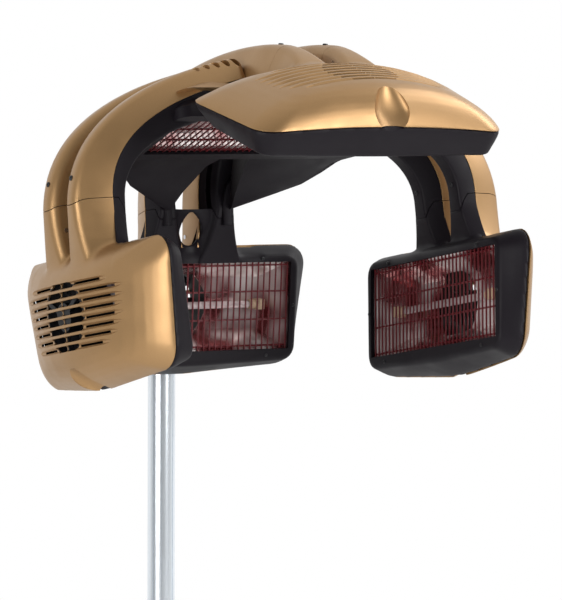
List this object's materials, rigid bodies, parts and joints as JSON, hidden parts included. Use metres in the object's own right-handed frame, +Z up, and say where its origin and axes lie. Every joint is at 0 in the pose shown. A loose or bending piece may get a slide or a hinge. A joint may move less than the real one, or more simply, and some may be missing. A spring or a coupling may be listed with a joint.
{
  "type": "hair color processor",
  "caption": "Free-standing infrared hair color processor: lamp heads on hinged arms around a crown lamp, on a height-adjustable column with a castor base.",
  "frame": {"origin": "on the floor, below the axis of the column", "axes": "+Z up along the column, -Y towards the client, +X to the side of the right head"},
  "size_m": [0.6882, 0.8962, 1.5139],
  "materials": {
    "gold_paint": "satin metallic champagne-gold paint on moulded plastic",
    "charcoal_plastic": "fine-textured satin charcoal moulding",
    "guard_wire": "dark red enamelled wire",
    "reflector": "bright-rolled, lightly hammered sheet",
    "quartz": "clear quartz lamp with ceramic holders",
    "black_fan": "satin black moulding",
    "bright_tube": "bright anodised drawn tube",
    "satin_tube": "satin silver powder coat",
    "steel": "plain turned steel",
    "cast_base": "black powder coat on a cast star",
    "castor_black": "satin black nylon"
  },
  "bodies": {
    "base": {"base_star": "cast_base", "outer_column": "satin_tube", "column_collar": "charcoal_plastic", "control_panel": "charcoal_plastic"},
    "clamp_knob": {"clamp_knob": "charcoal_plastic"},
    "timer_knob": {"timer_knob": "charcoal_plastic"},
    "mast": {"column_tube": "bright_tube", "guide_bush": "charcoal_plastic", "rear_shell": "gold_paint", "rear_bezel": "charcoal_plastic", "rear_guard": "guard_wire", "rear_reflector": "reflector", "rear_lamp": "quartz", "rear_fan_frame": "black_fan"},
    "hood": {"hub_cover": "gold_paint", "hub_liner": "charcoal_plastic", "crown_guard": "guard_wire", "crown_reflector": "reflector", "crown_lamp": "quartz", "hinge_pins": "steel", "rear_arm_cover": "gold_paint", "left_arm_cover": "gold_paint", "front_arm_cover": "gold_paint", "right_arm_cover": "gold_paint", "rear_arm_liner": "charcoal_plastic", "left_arm_liner": "charcoal_plastic", "front_arm_liner": "charcoal_plastic", "right_arm_liner": "charcoal_plastic"},
    "left_head": {"left_shell": "gold_paint", "left_bezel": "charcoal_plastic", "left_guard": "guard_wire", "left_reflector": "reflector", "left_lamp": "quartz", "left_fan_frame": "black_fan"},
    "right_head": {"right_shell": "gold_paint", "right_bezel": "charcoal_plastic", "right_guard": "guard_wire", "right_reflector": "reflector", "right_lamp": "quartz", "right_fan_frame": "black_fan"},
    "front_head": {"front_shell": "gold_paint", "front_bezel": "charcoal_plastic", "front_guard": "guard_wire", "front_reflector": "reflector", "front_lamp": "quartz", "front_fan_frame": "black_fan"},
    "rear_fan": {"rear_fan_rotor": "black_fan"},
    "left_fan": {"left_fan_rotor": "black_fan"},
    "front_fan": {"front_fan_rotor": "black_fan"},
    "right_fan": {"right_fan_rotor": "black_fan"},
    "castor_1": {"castor_1_housing": "castor_black"},
    "castor_1_wheels": {"castor_1_wheels": "castor_black"},
    "castor_2": {"castor_2_housing": "castor_black"},
    "castor_2_wheels": {"castor_2_wheels": "castor_black"},
    "castor_3": {"castor_3_housing": "castor_black"},
    "castor_3_wheels": {"castor_3_wheels": "castor_black"},
    "castor_4": {"castor_4_housing": "castor_black"},
    "castor_4_wheels": {"castor_4_wheels": "castor_black"},
    "castor_5": {"castor_5_housing": "castor_black"},
    "castor_5_wheels": {"castor_5_wheels": "castor_black"}
  },
  "joints": [
    {"name": "height_slide", "type": "slide", "parent": "base", "child": "mast", "axis": [0, 0, 1], "range_m": [-0.15, 0.18]},
    {"name": "hood_tilt", "type": "hinge", "parent": "mast", "child": "hood", "pos_m": [0, -0.0366, 1.25994], "axis": [-1, 0, 0], "range_deg": [0, 20]},
    {"name": "left_head_swing", "type": "hinge", "parent": "hood", "child": "left_head", "pos_m": [-0.29, -0.31002, 1.28458], "axis": [0, 0.9885, -0.1513], "range_deg": [0, 25]},
    {"name": "right_head_swing", "type": "hinge", "parent": "hood", "child": "right_head", "pos_m": [0.29, -0.31002, 1.28458], "axis": [0, -0.9885, 0.1513], "range_deg": [0, 25]},
    {"name": "front_head_swing", "type": "hinge", "parent": "hood", "child": "front_head", "pos_m": [0, -0.42492, 1.49091], "axis": [-1, 0, 0], "range_deg": [0, 20]},
    {"name": "rear_fan_spin", "type": "hinge", "parent": "mast", "child": "rear_fan", "pos_m": [0, -0.07586, 1.16802], "axis": [0, 0.998, 0.0628], "continuous": true},
    {"name": "left_fan_spin", "type": "hinge", "parent": "left_head", "child": "left_fan", "pos_m": [-0.2227, -0.3256, 1.18276], "axis": [-0.9971, -0.0116, -0.0758], "continuous": true},
    {"name": "front_fan_spin", "type": "hinge", "parent": "front_head", "child": "front_fan", "pos_m": [0, -0.49319, 1.39657], "axis": [0, -0.2639, 0.9646], "continuous": true},
    {"name": "right_fan_spin", "type": "hinge", "parent": "right_head", "child": "right_fan", "pos_m": [0.2227, -0.3256, 1.18276], "axis": [0.9971, -0.0116, -0.0758], "continuous": true},
    {"name": "clamp_knob_turn", "type": "hinge", "parent": "base", "child": "clamp_knob", "pos_m": [0.033, 0, 0.725], "axis": [1, 0, 0], "range_deg": [0, 270]},
    {"name": "timer_turn", "type": "hinge", "parent": "base", "child": "timer_knob", "pos_m": [0, 0.07273, 0.55633], "axis": [0, 0.9903, 0.1392], "range_deg": [0, 300]},
    {"name": "castor_1_swivel", "type": "hinge", "parent": "base", "child": "castor_1", "pos_m": [0, -0.3, 0.074], "axis": [0, 0, 1], "continuous": true},
    {"name": "castor_1_roll", "type": "hinge", "parent": "castor_1", "child": "castor_1_wheels", "pos_m": [0, -0.324, 0.03], "axis": [1, 0, 0], "continuous": true},
    {"name": "castor_2_swivel", "type": "hinge", "parent": "base", "child": "castor_2", "pos_m": [0.28532, -0.0927, 0.074], "axis": [0, 0, 1], "continuous": true},
    {"name": "castor_2_roll", "type": "hinge", "parent": "castor_2", "child": "castor_2_wheels", "pos_m": [0.30814, -0.10012, 0.03], "axis": [0.309, 0.9511, 0], "continuous": true},
    {"name": "castor_3_swivel", "type": "hinge", "parent": "base", "child": "castor_3", "pos_m": [0.17634, 0.24271, 0.074], "axis": [0, 0, 1], "continuous": true},
    {"name": "castor_3_roll", "type": "hinge", "parent": "castor_3", "child": "castor_3_wheels", "pos_m": [0.19044, 0.26212, 0.03], "axis": [-0.809, 0.5878, 0], "continuous": true},
    {"name": "castor_4_swivel", "type": "hinge", "parent": "base", "child": "castor_4", "pos_m": [-0.17634, 0.24271, 0.074], "axis": [0, 0, 1], "continuous": true},
    {"name": "castor_4_roll", "type": "hinge", "parent": "castor_4", "child": "castor_4_wheels", "pos_m": [-0.19044, 0.26212, 0.03], "axis": [-0.809, -0.5878, 0], "continuous": true},
    {"name": "castor_5_swivel", "type": "hinge", "parent": "base", "child": "castor_5", "pos_m": [-0.28532, -0.0927, 0.074], "axis": [0, 0, 1], "continuous": true},
    {"name": "castor_5_roll", "type": "hinge", "parent": "castor_5", "child": "castor_5_wheels", "pos_m": [-0.30814, -0.10012, 0.03], "axis": [0.309, -0.9511, 0], "continuous": true}
  ]
}
